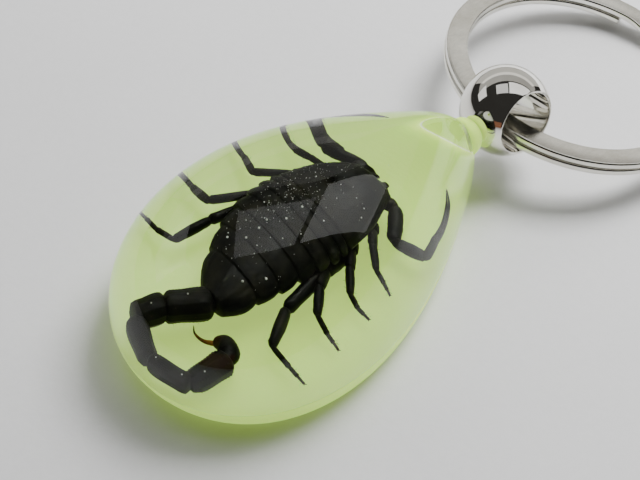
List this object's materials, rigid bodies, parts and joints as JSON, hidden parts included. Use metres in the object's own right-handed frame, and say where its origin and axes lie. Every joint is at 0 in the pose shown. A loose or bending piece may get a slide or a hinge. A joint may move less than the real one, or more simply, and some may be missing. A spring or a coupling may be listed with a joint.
{
  "type": "scorpion keyring",
  "caption": "Keyring with a teardrop of clear domed resin on a milky back, a scorpion cast inside, a bored metal ball at its tip and a flat split ring.",
  "frame": {"origin": "on the drop's flat back, under the crown of its dome", "axes": "+X towards the ball and the ring, +Z out of the flat back up through the dome, +Y to the left of +X seen from above"},
  "size_m": [0.0802, 0.032, 0.0184],
  "materials": {
    "milky_resin": "glossy, cloudy pale yellow-green resin",
    "clear_resin": "polished clear casting resin",
    "scorpion_shell": "dark, slightly shiny shell of the dried animal",
    "polished_metal": "polished nickel plate",
    "ring_metal": "nickel plate with a soft grain"
  },
  "bodies": {
    "drop": {"glow_backing": "milky_resin", "clear_resin_lower": "clear_resin", "clear_resin_upper": "clear_resin", "scorpion": "scorpion_shell", "ball": "polished_metal"},
    "ring": {"ring": "ring_metal"}
  },
  "joints": [
    {"name": "ring_swing", "type": "hinge", "parent": "drop", "child": "ring", "pos_m": [0.0266, 0, 0.0081], "axis": [0, -0.9816, 0.1908], "range_deg": [-125, 155]}
  ]
}
